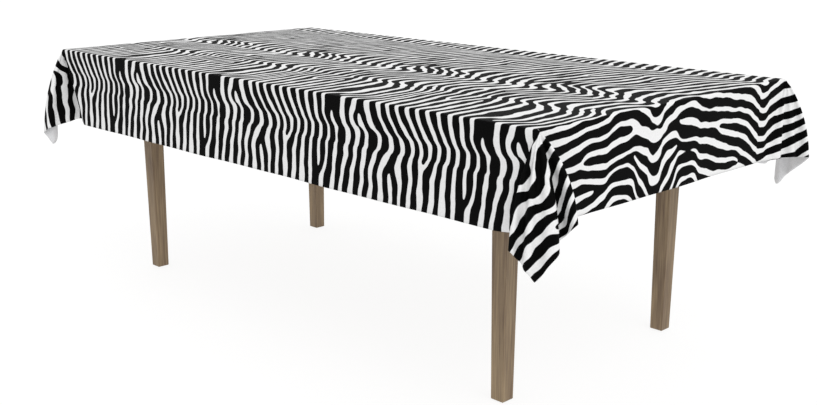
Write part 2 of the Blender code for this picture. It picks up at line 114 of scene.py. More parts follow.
# %% Rules for the ends and the links
def in_the_drops(turns):
    """Directions that stay in the hanging drops: across, out and down from the corner.

    At turn t from straight down, the long drop gives (sin t, sin t, sqrt(2) cos t) / sqrt(2).
    The end drop gives the same with its own turn t - 90, and with out reversed."""
    on_end = turns > 45
    turn = np.radians(turns - 90 * on_end)
    swing = np.sin(turn) / math.sqrt(2)
    return np.column_stack([swing, np.where(on_end, -swing, swing), np.cos(turn)])


def even_out(line, spacing, passes=8):
    """Moves neighbouring points apart or together until their links have one length."""
    for _ in range(passes):
        for first in (0, 1):
            near = line[first:-1:2]
            far = line[first + 1::2][:len(near)]
            gap = far - near
            move = 0.5 * (1 - spacing / np.linalg.norm(gap, axis=1, keepdims=True)) * gap
            near += move
            far -= move
    return line


print("the rope's ends point", in_the_drops(fold_turns[[0, -1]]).round(3).tolist())

# %% [markdown]
# Cloth can't pass through itself, so parts of the rope that lie close push each other away,
# unless they are neighbours along it. Its bending is taken from the differences of the points,
# as a thin rod's is, so sharp bends wear off first and wide ones stay.

# %% Rules for folds and bends
CLOSEST = 0.05            # how near two folds may come, on the unit ball
PUSH = 0.2
NEIGHBOUR_LINKS = 5       # links this near along the rope may be close together
TINY = 1e-9
link_numbers = np.arange(FLUTE_COLUMNS)
not_neighbours = np.abs(np.subtract.outer(link_numbers, link_numbers)) > NEIGHBOUR_LINKS


def keep_apart(line):
    """Pushes apart parts of the line that come closer than CLOSEST, so folds never cross."""
    gap = line[:, None] - line[None]
    length = np.linalg.norm(gap, axis=2) + TINY
    push = np.where(not_neighbours & (length < CLOSEST), PUSH * (CLOSEST - length) / length, 0)
    return line + (push[..., None] * gap).sum(axis=1)


def bending(line):
    """The fourth difference of the points, zero at both ends."""
    curve, bend = np.zeros_like(line), np.zeros_like(line)
    curve[1:-1] = line[:-2] + line[2:] - 2 * line[1:-1]
    bend[1:-1] = curve[:-2] + curve[2:] - 2 * curve[1:-1]
    return bend


print("links of each rope", FLUTE_COLUMNS - 1)

# %% [markdown]
# The rope begins as straight stretches from fold to fold, far too short in some places and too
# long in others. Many rounds of the rules make it run evenly through all of them.

# %% Lay the fold line of each corner
ROPE_ROUNDS = 900
PULL = 0.06        # how strongly a fold draws the rope in each round
WEAR = 0.06        # how fast sharp bends wear off


def fold_line(folds):
    """The hanging curve on the unit ball, as unit vectors of across, out and down.

    Each round pulls the line towards its folds, takes out some bending, keeps folds from
    crossing, evens the links to the chord 2 sin(step / 2), and puts the line back on the
    ball."""
    step = fold_turns[1] - fold_turns[0]
    spacing = 2 * math.sin(math.radians(step) / 2)
    start, end = in_the_drops(fold_turns[:3]), in_the_drops(fold_turns[-3:])
    aims = np.array([[turn, swing, out, math.sqrt(1 - swing ** 2 - out ** 2)]
                     for turn, swing, out in folds])
    knots = np.vstack([[fold_turns[0], *start[0]], aims, [fold_turns[-1], *end[-1]]])
    line = np.column_stack([np.interp(fold_turns, knots[:, 0], knots[:, i]) for i in (1, 2, 3)])
    held = np.rint((aims[:, 0] - fold_turns[0]) / step).astype(int)
    for _ in range(ROPE_ROUNDS):
        line[held] += PULL * (aims[:, 1:] - line[held])
        line = even_out(keep_apart(line - WEAR * bending(line)), spacing)
        line[:3], line[-3:] = start, end
        line /= np.linalg.norm(line, axis=1, keepdims=True)
    return line


fold_lines = {corner: fold_line(folds) for corner, (_, _, folds) in FOLDS.items()}
for corner, line in fold_lines.items():
    print(corner, "reaches out", round(float(line[:, 1].max()), 3), "of its length")

# %% [markdown]
# ## The sheet
#
# The whole cloth is one mesh. Four flat drops and four flutes could be made apart and stitched,
# but their seams would show in the print. So columns of points start on the top, bend over the
# edge and run down to the hem, all the way round: straight ones along the drops, and the fold
# lines' ones at the corners. Every point also keeps its place on the flat cloth, in metres. This
# first step makes what every column has: its bend over the edge and its rows.

# %% Bend the columns over the edge
EDGE_ROUND = 0.006    # how far the bend over the edge reaches
EDGE_ROWS = 5
DROP_ROWS = 30
edge_steps = np.linspace(0, 1, EDGE_ROWS + 1)[:-1, None]
drop_steps = np.linspace(0, 1, DROP_ROWS + 1)


def over_the_edge(start, turn_at, end):
    """The curve (1 - t)^2 start + 2 t (1 - t) turn_at + t^2 end of each column.

    Its last point is left out, because the hanging part begins there."""
    start, turn_at, end, t = start[:, None], turn_at[:, None], end[:, None], edge_steps
    return (1 - t) ** 2 * start + 2 * t * (1 - t) * turn_at + t ** 2 * end


def drop_rows(edge_places, hem_places):
    """Each row's share of its column's length, from just below the bend to 1 at the hem."""
    skip = EDGE_ROUND / np.linalg.norm(hem_places - edge_places, axis=1, keepdims=True)
    return skip + (1 - skip) * drop_steps


def whole_columns(inset, edge_places, hem_places, rows, hanging):
    """Adds the bend to the hanging part. Returns (points in space, places on the flat cloth)."""
    level = np.full((len(inset), 1), CLOTH_TOP)
    bend = over_the_edge(np.hstack([inset, level]), np.hstack([edge_places, level]),
                         hanging[:, 0])
    flat = edge_places[:, None] + rows[..., None] * (hem_places - edge_places)[:, None]
    flat_bend = over_the_edge(inset, edge_places, flat[:, 0])
    return np.hstack([bend, hanging]), np.hstack([flat_bend, flat])


print("rows over the edge", EDGE_ROWS, "and down the drop", DROP_ROWS + 1)

# %% [markdown]
# The four drops hang flat, apart from a ripple of two to four millimetres that grows towards
# the hem. Noise could make it, but two sine waves that do not repeat together look as natural
# and stay smooth. The ripple dies out at the creases beside the corners.

# %% Hang the four drops
COLUMN_SPACING = 0.020
RIPPLE = 0.0022           # height of the longer wave, in metres
LONG_WAVE = 9.0           # radians per metre along the edge
SHORT_WAVE = 23.0
SHORT_HEIGHT = 0.6        # as a share of the longer wave's height
SIDE_START = 2.1          # radians, so that opposite drops differ
SHORT_START = 0.7


def drop_columns(along_x, side, order):
    """The straight columns of one drop. order is 1 or -1, so that all go round one way.

    At the part s of the drop the cloth stands RIPPLE s^1.5 sqrt(cos(pi u / 2)) w away from
    the vertical, where u runs from -1 to 1 along the edge and w is the sum of the two waves."""
    half_edge, half = (HALF_LENGTH, HALF_WIDTH) if along_x else (HALF_WIDTH, HALF_LENGTH)
    drop = SIDE_DROP if along_x else END_DROP
    crease = drop * math.tan(math.radians(CREASE_REACH))
    share = np.linspace(-1, 1, int(2 * half_edge / COLUMN_SPACING) + 1)[1:-1] * order
    place, hem_place = share * half_edge, share * (half_edge - crease)
    inset_place = np.clip(place, EDGE_ROUND - half_edge, half_edge - EDGE_ROUND)
    level = side * np.ones_like(place)
    edge_places = np.column_stack([place, half * level])
    hem_places = np.column_stack([hem_place, (half + drop) * level])
    inset = np.column_stack([inset_place, (half - EDGE_ROUND) * level])
    rows = drop_rows(edge_places, hem_places)
    along = place[:, None] + rows * (hem_place - place)[:, None]
    wave = np.sin(LONG_WAVE * along + SIDE_START * side)
    wave += SHORT_HEIGHT * np.sin(SHORT_WAVE * along + SHORT_START)
    out = RIPPLE * np.sqrt(np.cos(math.pi * share / 2))[:, None] * rows ** 1.5 * wave
    hanging = np.stack([along, side * (half + out), CLOTH_TOP - drop * rows], axis=-1)
    space, flat = whole_columns(inset, edge_places, hem_places, rows, hanging)
    return (space, flat) if along_x else (space[..., [1, 0, 2]], flat[..., [1, 0]])


front_drop = drop_columns(True, -1, 1)
right_drop = drop_columns(False, 1, 1)
back_drop = drop_columns(True, 1, -1)
left_drop = drop_columns(False, -1, -1)
print("columns of the front drop", len(front_drop[0]), "and of an end", len(right_drop[0]))

# %% [markdown]
# Straight folds from the corner to the hem would make a stiff cone. Real folds open quickly
# under the corner and then hang plumb, so every fold swings out by a parabola. Just below the
# corner the cloth is too stiff to fold, so there the fold line gives way to its own average.
# Three small helpers come first: a smooth start, the average, and how far a swinging column falls.

# %% Helpers for the flutes
FALL_STEPS = 200      # steps in which the fall is added up
FLATTEST_FALL = 0.05  # keeps a steep swing from standing still
AVERAGING_ROUNDS = 900


def smooth_step(part):
    """3 p^2 - 2 p^3, which goes from 0 to 1 with level ends."""
    part = np.clip(part, 0, 1)
    return part * part * (3 - 2 * part)


def averaged(line):
    """The line after many rounds of averaging each point with its two neighbours."""
    line = line.copy()
    for _ in range(AVERAGING_ROUNDS):
        line[1:-1] = (line[:-2] + 2 * line[1:-1] + line[2:]) / 4
    return line


def fallen(size, swell, rows):
    """The fall at each row: the integral of sqrt(1 - slope^2), so its length hardly changes."""
    slope = size * (1 + swell - 2 * swell * np.linspace(0, 1, FALL_STEPS + 1))
    fall = np.sqrt(np.clip(1 - slope ** 2, FLATTEST_FALL, 1))
    total = np.cumsum((fall[:, 1:] + fall[:, :-1]) / (2 * FALL_STEPS), axis=1)
    total = np.hstack([np.zeros((len(total), 1)), total])
    step = np.clip((rows * FALL_STEPS).astype(int), 0, FALL_STEPS - 1)
    part = rows * FALL_STEPS - step
    below, above = (np.take_along_axis(total, step + i, 1) for i in (0, 1))
    return below + part * (above - below)


print("fall of a plumb column of length 1:", fallen(np.zeros((1, 1)), 0.0, np.ones((1, 1)))[0, 0])

# %% [markdown]
# Now every direction of the fold line becomes a column. On the flat cloth it runs straight from
# the corner to the hem, so its length there is known, and it hangs that far along its fold.

# %% Hang the flutes
FLUTE_SWELL = 0.80    # how much faster the folds open near the corner than near the hem
SWELL_REACH = 30      # degrees from the crease over which the swell grows to its full size
SOFT_PART = 0.12      # share of the drop, below the corner, where the folds are still shallow


def corner_columns(name):
    """The columns of one flute, from the long drop round to the end drop.

    A fold swings s R d (1 + k (1 - s)) sideways at the part s of its length R, where d is the
    fold line's sideways part and k the swell."""
    right, back, _ = FOLDS[name]
    line, turns = fold_lines[name], np.radians(fold_turns)
    across = np.array([right, -back, 0]) / math.sqrt(2)
    out = np.array([right, back, 0]) / math.sqrt(2)
    towards = np.column_stack([right * np.sin(turns), back * np.cos(turns)])
    length = 1 / np.maximum(np.cos(turns) / SIDE_DROP, np.sin(turns) / END_DROP)[:, None]
    corner = np.array([right * HALF_LENGTH, back * HALF_WIDTH])
    edge_places = np.tile(corner, (len(turns), 1))
    inset = edge_places - EDGE_ROUND * np.array([right, back])
    hem_places = edge_places + length * towards
    rows = drop_rows(edge_places, hem_places)
    from_crease = np.minimum(fold_turns - fold_turns[0], fold_turns[-1] - fold_turns)
    swell = FLUTE_SWELL * smooth_step(from_crease / SWELL_REACH)[:, None]
    firm = smooth_step(rows / SOFT_PART)[..., None]
    soft = averaged(line)[:, None]
    swing = soft + firm * (line[:, None] - soft)
    sideways = (rows * (1 + swell * (1 - rows)))[..., None]
    move = sideways * (swing[..., :1] * across + swing[..., 1:2] * out)
    move[..., 2] -= fallen(np.hypot(line[:, :1], line[:, 1:2]), swell, rows)
    hanging = np.array([*corner, CLOTH_TOP]) + length[..., None] * move
    return whole_columns(inset, edge_places, hem_places, rows, hanging)


flutes = {name: corner_columns(name) for name in FOLDS}
for name, (space, _) in flutes.items():
    print(name, "hangs down to", round(float(space[..., 2].min()), 3), "m over the floor")

# %% [markdown]
# The drops and flutes now follow each other anticlockwise, seen from above, and the last meets
# the first. Two of the flutes were made from the other side, so their columns are turned round.

# %% Go round the table
def backwards(part):
    """The same columns in the other order."""
    return part[0][::-1], part[1][::-1]


round_the_table = [
    flutes["front_right"], right_drop, backwards(flutes["back_right"]), back_drop,
    flutes["back_left"], left_drop, backwards(flutes["front_left"]), front_drop]
ring = np.concatenate([space for space, _ in round_the_table])
ring_flat = np.concatenate([flat for _, flat in round_the_table])
print("columns", ring.shape[0], "rows", ring.shape[1])

# %% [markdown]
# The inner folds would cut a little into the corner of the top. A simulation would push them out
# by colliding; here the board is a plain box, so any hanging point inside it moves straight out
# to its nearest side. The first row below the board moves too, or a face between the rows would
# cut the board's lower edge.

# %% Lay the folds against the board
BOARD_GAP = 0.0007    # from the board's side to the outside of the cloth
ROW_BELOW = 0.012     # reaches the first row of points under the board
within_x = HALF_LENGTH - CLOTH_CLEARANCE + BOARD_GAP - np.abs(ring[..., 0])
within_y = HALF_WIDTH - CLOTH_CLEARANCE + BOARD_GAP - np.abs(ring[..., 1])
beside_board = (ring[..., 2] > top_low.z - ROW_BELOW) & (within_x > 0) & (within_y > 0)
beside_board[:, :EDGE_ROWS] = False
for axis, within, other in ((0, within_x, within_y), (1, within_y, within_x)):
    move = beside_board & (within <= other)
    ring[..., axis] += np.where(move, within * np.sign(ring[..., axis]), 0)
print("points laid against the board", int(beside_board.sum()))

# %% [markdown]
# The flat middle is filled with triangles between the columns' first points and a plain grid, so
# the top and the drops share their points and there is no seam. A grid alone would not meet the
# uneven columns of the corners; Blender's constrained triangulation joins the two.

# %% Fill the flat middle
from mathutils import Vector
from mathutils.geometry import delaunay_2d_cdt

SAME_PLACE = 1e-6
GRID_ALONG = 99       # points of the grid along the table
GRID_ACROSS = 52
column_count, row_count = ring.shape[:2]
rim = ring[:, 0, :2]
new_on_rim = np.linalg.norm(rim - np.roll(rim, 1, axis=0), axis=1) > SAME_PLACE
rim_count = int(new_on_rim.sum())
grid = np.meshgrid(np.linspace(-HALF_LENGTH, HALF_LENGTH, GRID_ALONG + 2)[1:-1],
                   np.linspace(-HALF_WIDTH, HALF_WIDTH, GRID_ACROSS + 2)[1:-1], indexing="ij")
top_places = np.vstack([rim[new_on_rim], np.column_stack([axis.ravel() for axis in grid])])
rim_edges = [(i, (i + 1) % rim_count) for i in range(rim_count)]
top_places, _, top_faces, _, _, _ = delaunay_2d_cdt(
    list(map(Vector, top_places)), rim_edges, [], 0, SAME_PLACE / 10)
top_places = np.array(top_places)
print("the top has", len(top_places), "points and", len(top_faces), "triangles")

# %% [markdown]
# The hanging part needs only its order: each point joins the one below it and the same two in the
# next column. Where columns share their first point, the face there is a triangle.

# %% Join the columns
first = len(top_places)
place_in_mesh = np.empty((column_count, row_count), dtype=int)
place_in_mesh[:, 0] = (np.cumsum(new_on_rim) - 1) % rim_count
hanging_numbers = first + np.arange(column_count * (row_count - 1))
place_in_mesh[:, 1:] = hanging_numbers.reshape(column_count, -1)
beside = np.roll(place_in_mesh, -1, axis=0)
quads = np.stack([place_in_mesh[:, :-1], place_in_mesh[:, 1:], beside[:, 1:], beside[:, :-1]],
                 axis=-1).reshape(-1, 4)
pointed = quads[:, 0] == quads[:, 3]
faces = [*map(tuple, top_faces), *quads[~pointed].tolist(), *quads[pointed, :3].tolist()]
top_level = np.column_stack([top_places, np.full(first, CLOTH_TOP)])
vertices = np.vstack([top_level, ring[:, 1:].reshape(-1, 3)])
flat_places = np.vstack([top_places, ring_flat[:, 1:].reshape(-1, 2)])
print("the sheet has", len(vertices), "points and", len(faces), "faces")

# %% [markdown]
# The place on the flat cloth goes into a UV map, in metres. Unwrapping could give one too, but
# it would stretch the print a little everywhere, and here the true places are known.

# %% Make the mesh
sheet_mesh = bpy.data.meshes.new("printed_cloth")
sheet_mesh.from_pydata(vertices.tolist(), [], faces)
flat_map = sheet_mesh.uv_layers.new(name="flat_cloth")
corner_vertices = np.empty(len(sheet_mesh.loops), dtype=np.int32)
sheet_mesh.loops.foreach_get("vertex_index", corner_vertices)
flat_map.data.foreach_set("uv", flat_places[corner_vertices].ravel())
sheet_mesh.shade_smooth()
cloth = bpy.data.objects.new("printed_cloth", sheet_mesh)
bpy.context.collection.objects.link(cloth)
print("cloth", cloth.name, "with UV map", flat_map.name)

# %% [markdown]
# The sheet is thin polyester. A second surface could be modelled for its reverse; Solidify makes
# one from the first. The outer face stays where it is and the thickness goes inwards, with the
# plain white reverse as the next material on the inside.

# %% Give the sheet its thickness
SHEET_THICKNESS = 0.0004
thickness = cloth.modifiers.new("thickness", "SOLIDIFY")
thickness.thickness = SHEET_THICKNESS
thickness.offset = -1
thickness.material_offset = 1
thickness.use_even_offset = False
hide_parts("tablecloth")
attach(cloth, "cloth")
print("thickness", 1000 * SHEET_THICKNESS, "mm")

# %% [markdown]
# ## Material helpers
#
# Each material is a small graph of shader nodes. Painted pictures could be wrapped round the
# pieces, but nodes stay sharp at any distance and need no file. These functions add one kind of
# node each, so that the recipes below read as what they paint.

# %% Functions that add shader nodes
def new_material(name, roughness, metallic=0.0):
    """A material with one Principled BSDF. Returns (material, its node tree, the shader)."""
    material = bpy.data.materials.new(name)
    material.use_nodes = True
    shader = material.node_tree.nodes["Principled BSDF"]
    shader.inputs["Roughness"].default_value = roughness
    shader.inputs["Metallic"].default_value = metallic
    return material, material.node_tree, shader


def number(tree, operation, *values):
    """One Math node. Each value is a number or another node's output."""
    node = tree.nodes.new("ShaderNodeMath")
    node.operation = operation
    for socket, value in zip(node.inputs, values):
        if isinstance(value, (int, float)):
            socket.default_value = value
        else:
            tree.links.new(value, socket)
    return node.outputs[0]


def stretched(tree, scales):
    """The object's own coordinates, in metres, each multiplied by its scale."""
    place = tree.nodes.new("ShaderNodeTexCoord")
    mapping = tree.nodes.new("ShaderNodeMapping")
    mapping.inputs["Scale"].default_value = scales
    tree.links.new(place.outputs["Object"], mapping.inputs["Vector"])
    return mapping.outputs[0]


print("functions", new_material.__name__, number.__name__, stretched.__name__)

# %% [markdown]
# The next functions make what the looks are drawn with: noise, a ramp of colours, and bumps
# that only the light sees. True relief would need far more faces than it is worth here.

# %% Functions for noise, colour and bumps
def noise(tree, place, scale, detail=2.0):
    """Soft noise from 0 to 1."""
    node = tree.nodes.new("ShaderNodeTexNoise")
    node.inputs["Scale"].default_value = scale
    node.inputs["Detail"].default_value = detail
    tree.links.new(place, node.inputs["Vector"])
    return node.outputs["Fac"]


def colours(tree, value, stops):
    """A colour ramp through (position, red, green, blue) stops."""
    node = tree.nodes.new("ShaderNodeValToRGB")
    ramp = node.color_ramp
    while len(ramp.elements) < len(stops):
        ramp.elements.new(0.5)
    for element, (position, *colour) in zip(ramp.elements, stops):
        element.position = position
        element.color = (*colour, 1)
    tree.links.new(value, node.inputs["Fac"])
    return node.outputs["Color"]


def bump(tree, shader, height, distance, strength=1.0):
    """Raises the surface by height times distance, in shading only."""
    node = tree.nodes.new("ShaderNodeBump")
    node.inputs["Distance"].default_value = distance
    node.inputs["Strength"].default_value = strength
    tree.links.new(height, node.inputs["Height"])
    tree.links.new(node.outputs["Normal"], shader.inputs["Normal"])


print("functions", noise.__name__, colours.__name__, bump.__name__)

# %% [markdown]
# The print needs curves through a few chosen places. A polynomial through them would swing
# wildly between; Blender's Float Curve does not. It works from 0 to 1 both ways, so the places
# are brought to that range first and the result is brought back.

# %% A function for smooth curves
def smooth_line(tree, value, places):
    """A smooth curve through (value, result) places, as one Float Curve node."""
    low, high = places[0][0], places[-1][0]
    floor = min(result for _, result in places)
    height = max(result for _, result in places) - floor
    node = tree.nodes.new("ShaderNodeFloatCurve")
    curve = node.mapping.curves[0]
    points = [((x - low) / (high - low), (y - floor) / height) for x, y in places]
    curve.points[0].location, curve.points[1].location = points[0], points[-1]
    for point in points[1:-1]:
        curve.points.new(*point)
    node.mapping.update()
    part = number(tree, "DIVIDE", number(tree, "SUBTRACT", value, low), high - low)
    tree.links.new(part, node.inputs["Value"])
    return number(tree, "MULTIPLY_ADD", node.outputs[0], height, floor)


print("function", smooth_line.__name__)

# %% [markdown]
# ## The print
#
# Zebra stripes could be drawn one by one, but a wave along the cloth gives all of them at once.
# Where the wave is above zero the cloth is black. The stripes run from long edge to long edge,
# and what makes them look like a hide is how that plain wave is disturbed:
#
# - a shift along the table that depends on the place across it, which bends all stripes together;
# - sways inside each repeat, which spread the stripes at one place and crowd them at another;
# - forks, where one stripe splits in two, and blots, where one is wider or narrower;
# - soft noise, which moves the stripes and makes them thicker and thinner.
#
# The bends and sways come first. Each is a smooth curve through a few places.

# %% Set out the bends and sways
REPEAT = 0.503      # metres along the cloth
STRIPES = 14        # black stripes in each repeat
# The lists ending in ACROSS and the bends: metres from the middle line, and the shift in metres.
# The lists ending in ALONG: metres into the repeat, and the share of the shift that acts there.
BENDS = [(-0.78, 0.010), (-0.70, 0.018), (-0.655, 0.026), (-0.625, 0.038), (-0.60, 0.022),
         (-0.533, 0.0), (-0.43, -0.004), (-0.35, -0.010), (-0.29, -0.016), (-0.23, -0.034),
         (-0.15, -0.022), (-0.12, -0.010), (-0.09, 0.006), (-0.06, -0.010), (-0.03, -0.022),
         (0.05, -0.034), (0.11, -0.018), (0.20, -0.004), (0.30, 0.012), (0.36, 0.032),
         (0.395, 0.051), (0.42, 0.064), (0.45, 0.054), (0.50, 0.044), (0.56, 0.030),
         (0.64, 0.0), (0.78, -0.012)]
LEAN_ACROSS = [(-0.78, 0.004), (-0.70, 0.002), (-0.62, 0.014), (-0.533, 0.0), (-0.40, 0.0),
               (0.78, 0.0)]
LEAN_PLACE = 0.105  # where the lean is fullest, in metres into the repeat
SWAY_ACROSS = [(-0.78, 0.0), (-0.33, 0.0), (-0.27, -0.015), (-0.22, -0.020), (-0.17, -0.004),
               (-0.09, 0.020), (0.0, -0.004), (0.04, -0.020), (0.09, -0.015), (0.15, 0.0),
               (0.78, 0.0)]
SWAY_ALONG = [(0.0, 0.0), (0.08, 0.0), (0.13, 0.6), (0.17, 1.0), (0.22, 1.3), (0.30, 1.0),
              (0.40, 0.2), (REPEAT, 0.0)]
ARCH_ACROSS = [(-0.78, 0.0), (-0.56, 0.0), (-0.50, 0.02), (-0.41, 0.055), (-0.30, 0.03),
               (-0.16, 0.0), (0.78, 0.0)]
ARCH_ALONG = [(0.0, 0.25), (0.06, 0.0), (0.27, 0.0), (0.34, 0.55), (0.416, 1.0), (0.47, 0.75),
              (REPEAT, 0.25)]
print("places that bend the stripes", len(BENDS + LEAN_ACROSS + SWAY_ACROSS + ARCH_ACROSS))

# %% [markdown]
# A fork adds an angle to the wave: going once round the fork gains a full turn, which is one
# whole stripe, so a stripe begins or ends there. The angle of the point (sin x, cos x tanh y)
# does that once in every repeat, where a plain angle would do it only once on the whole cloth.
# A blot only makes the wave higher or lower near one spot, so that a black or a white stripe is
# wider there.

# %% Functions for forks and blots
def fork(tree, along, across, place, level, sign):
    """The angle of (sin x, cos x tanh y), with x and y measured from the fork."""
    x = number(tree, "MULTIPLY", number(tree, "SUBTRACT", along, place), math.pi / REPEAT)
    y = number(tree, "MULTIPLY", number(tree, "SUBTRACT", across, level), math.pi / REPEAT)
    rise = number(tree, "MULTIPLY", number(tree, "COSINE", x), number(tree, "TANH", y))
    angle = number(tree, "ARCTAN2", rise, number(tree, "SINE", x))
    return number(tree, "MULTIPLY", angle, sign)


def blot(tree, turn, across, place, level, long, wide, weight):
    """A soft spot of extra black or white: weight at its middle, fading over long and wide."""
    off = number(tree, "SUBTRACT", turn, place * 2 * math.pi / REPEAT)
    closeness = number(tree, "SUBTRACT", number(tree, "COSINE", off), 1.0)
    closeness = number(tree, "MULTIPLY", closeness, (REPEAT / (2 * math.pi * long)) ** 2)
    gap = number(tree, "DIVIDE", number(tree, "SUBTRACT", across, level), wide)
    fade = number(tree, "MULTIPLY", number(tree, "MULTIPLY", gap, gap), -0.5)
    spot = number(tree, "EXPONENT", number(tree, "ADD", closeness, fade))
    return number(tree, "MULTIPLY", spot, weight)


print("functions", fork.__name__, blot.__name__)

# %% [markdown]
# On a hide the forks lie here and there. They could be strewn at random, but a few chosen places
# keep the stripes even between them. Just as many turn one way as the other, so that both long
# edges have the same number of stripes.

# %% Place the forks and blots
# Each fork: metres into the repeat, metres from the middle line, and which way it turns.
FORKS = [(0.452, -0.568, 1), (0.17, -0.66, -1), (0.06, -0.70, 1), (0.30, -0.72, -1),
         (0.052, -0.19, 1), (0.052, 0.01, -1), (0.112, -0.175, -1), (0.112, 0.0, 1),
         (0.43, -0.24, 1), (0.33, -0.11, 1), (0.285, 0.10, -1), (0.28, 0.22, -1),
         (0.095, 0.20, -1), (0.20, 0.30, 1), (0.10, -0.37, -1), (0.17, -0.33, 1),
         (0.40, 0.50, 1), (0.31, 0.62, -1)]
# Each blot: the same two places, how long and how wide it is, and its weight, black above zero.
BLOTS = [(0.356, -0.535, 0.0085, 0.022, 2.4), (0.386, -0.632, 0.010, 0.013, 1.2),
         (0.0, -0.632, 0.010, 0.013, 1.2), (0.452, -0.603, 0.008, 0.016, -1.1),
         (0.23, -0.755, 0.010, 0.02, -1.2), (0.070, -0.095, 0.009, 0.040, -2.2),
         (0.149, -0.235, 0.010, 0.026, 1.5), (0.149, 0.055, 0.010, 0.026, 1.5),
         (0.090, -0.23, 0.009, 0.05, 0.7), (0.092, 0.05, 0.009, 0.05, 0.7),
         (0.040, 0.12, 0.009, 0.06, 0.7), (0.042, -0.29, 0.009, 0.04, 0.7),
         (0.190, -0.22, 0.008, 0.020, 1.2), (0.190, 0.06, 0.008, 0.020, 1.2)]
print("forks", len(FORKS), "and blots", len(BLOTS), "in each repeat of", REPEAT, "m")

# %% [markdown]
# A roller prints the cloth, so the pattern repeats along the roll. Noise read on the flat cloth
# would not come round again, so it is read on a cylinder whose girth is one repeat. All the
# shifts are added up here, in metres along the cloth.

# %% Add up the shifts
GIRTH_RADIUS = REPEAT / (2 * math.pi)
WOBBLES = ((9.0, 0.034), (26.0, 0.009))    # scale of the noise and how far it shifts a stripe


def on_roller(tree, turn, across):
    """The place on the cylinder that prints the cloth, from its turn and height."""
    girth = tree.nodes.new("ShaderNodeCombineXYZ")
    for i, part in enumerate(("COSINE", "SINE")):
        on_circle = number(tree, "MULTIPLY", number(tree, part, turn), GIRTH_RADIUS)
        tree.links.new(on_circle, girth.inputs[i])
    tree.links.new(across, girth.inputs[2])
    return girth.outputs[0]


def stripe_shift(tree, along, turn, across, roller):
    """How far the bends, the sways and the noise move the stripes at each place."""
    inside = number(tree, "FRACT", number(tree, "DIVIDE", along, REPEAT))
    inside = number(tree, "MULTIPLY", inside, REPEAT)
    sway = number(tree, "MULTIPLY", smooth_line(tree, across, SWAY_ACROSS),
                  smooth_line(tree, inside, SWAY_ALONG))
    arch = number(tree, "MULTIPLY", smooth_line(tree, across, ARCH_ACROSS),
                  smooth_line(tree, inside, ARCH_ALONG))
    lean = number(tree, "MULTIPLY", smooth_line(tree, across, LEAN_ACROSS),
                  number(tree, "COSINE",
                         number(tree, "SUBTRACT", turn, LEAN_PLACE / GIRTH_RADIUS)))
    shift = number(tree, "ADD", smooth_line(tree, across, BENDS), sway)
    shift = number(tree, "ADD", shift, number(tree, "ADD", arch, lean))
    for scale, size in WOBBLES:
        wobble = number(tree, "SUBTRACT", noise(tree, roller, scale, 1.0), 0.5)
        shift = number(tree, "MULTIPLY_ADD", wobble, size, shift)
    return shift


print("noises on a roller of", round(1000 * GIRTH_RADIUS, 1), "mm radius", len(WOBBLES))

# %% [markdown]
# The shifts and forks go into the turn of one sine, which makes the stripes. Noise and blots are
# added to the sine afterwards, so they change only how wide a stripe is and not where it runs.

# %% Write the stripe wave
BLACK_BIAS = 0.30     # raises the wave, so that black takes more than half
WIDTH_SCALE = 12.0    # scale of the noise that widens and narrows the stripes
WIDTH_CHANGE = 1.3


def stripe_wave(tree):
    """The wave at each place on the flat cloth. Above zero the cloth is black."""
    flat = tree.nodes.new("ShaderNodeUVMap")
    flat.uv_map = "flat_cloth"
    parts = tree.nodes.new("ShaderNodeSeparateXYZ")
    tree.links.new(flat.outputs["UV"], parts.inputs[0])
    along, across = parts.outputs[0], parts.outputs[1]
    full = 2 * math.pi / REPEAT
    turn = number(tree, "MULTIPLY", along, full)
    roller = on_roller(tree, turn, across)
    shift = stripe_shift(tree, along, turn, across, roller)
    wave_turn = number(tree, "MULTIPLY", number(tree, "SUBTRACT", along, shift), STRIPES * full)
    for place, level, sign in FORKS:
        wave_turn = number(tree, "ADD", wave_turn, fork(tree, along, across, place, level, sign))
    wave = number(tree, "ADD", number(tree, "SINE", wave_turn), BLACK_BIAS)
    width = number(tree, "SUBTRACT", noise(tree, roller, WIDTH_SCALE, 1.0), 0.5)
    wave = number(tree, "MULTIPLY_ADD", width, WIDTH_CHANGE, wave)
    for spot in BLOTS:
        wave = number(tree, "ADD", wave, blot(tree, turn, across, *spot))
    return wave


# %% [markdown]
# The cloth itself is a smooth woven sheet with hardly any sheen. Modelled threads would be
# millions of faces, so the weave is a bump in the shading.

# %% Weave the cloth
THREAD = 0.0011           # metres from thread to thread
WEAVE_DEPTH = 0.00012


def weave(tree, shader):
    """Threads from two crossed rows of sine ridges. Returns the noise of the uneven yarn."""
    flat = tree.nodes.new("ShaderNodeUVMap")
    flat.uv_map = "flat_cloth"
    parts = tree.nodes.new("ShaderNodeSeparateXYZ")
    tree.links.new(flat.outputs["UV"], parts.inputs[0])
    thread_turn = 2 * math.pi / THREAD
    ridges = [number(tree, "SINE", number(tree, "MULTIPLY", parts.outputs[i], thread_turn))
              for i in (0, 1)]
    cross = number(tree, "MULTIPLY", ridges[0], ridges[1])
    slub = noise(tree, flat.outputs["UV"], 260.0, 3.0)
    bump(tree, shader, number(tree, "MULTIPLY_ADD", cross, 0.5, slub), WEAVE_DEPTH, 0.6)
    return slub


# %% [markdown]
# The ink sits in the weave, so black and white share one fine texture, and the edge of a stripe
# is sharp to about a millimetre. The ink could be a second layer on top, but cloth shows its
# yarn through it. The reverse shows plain white yarn.

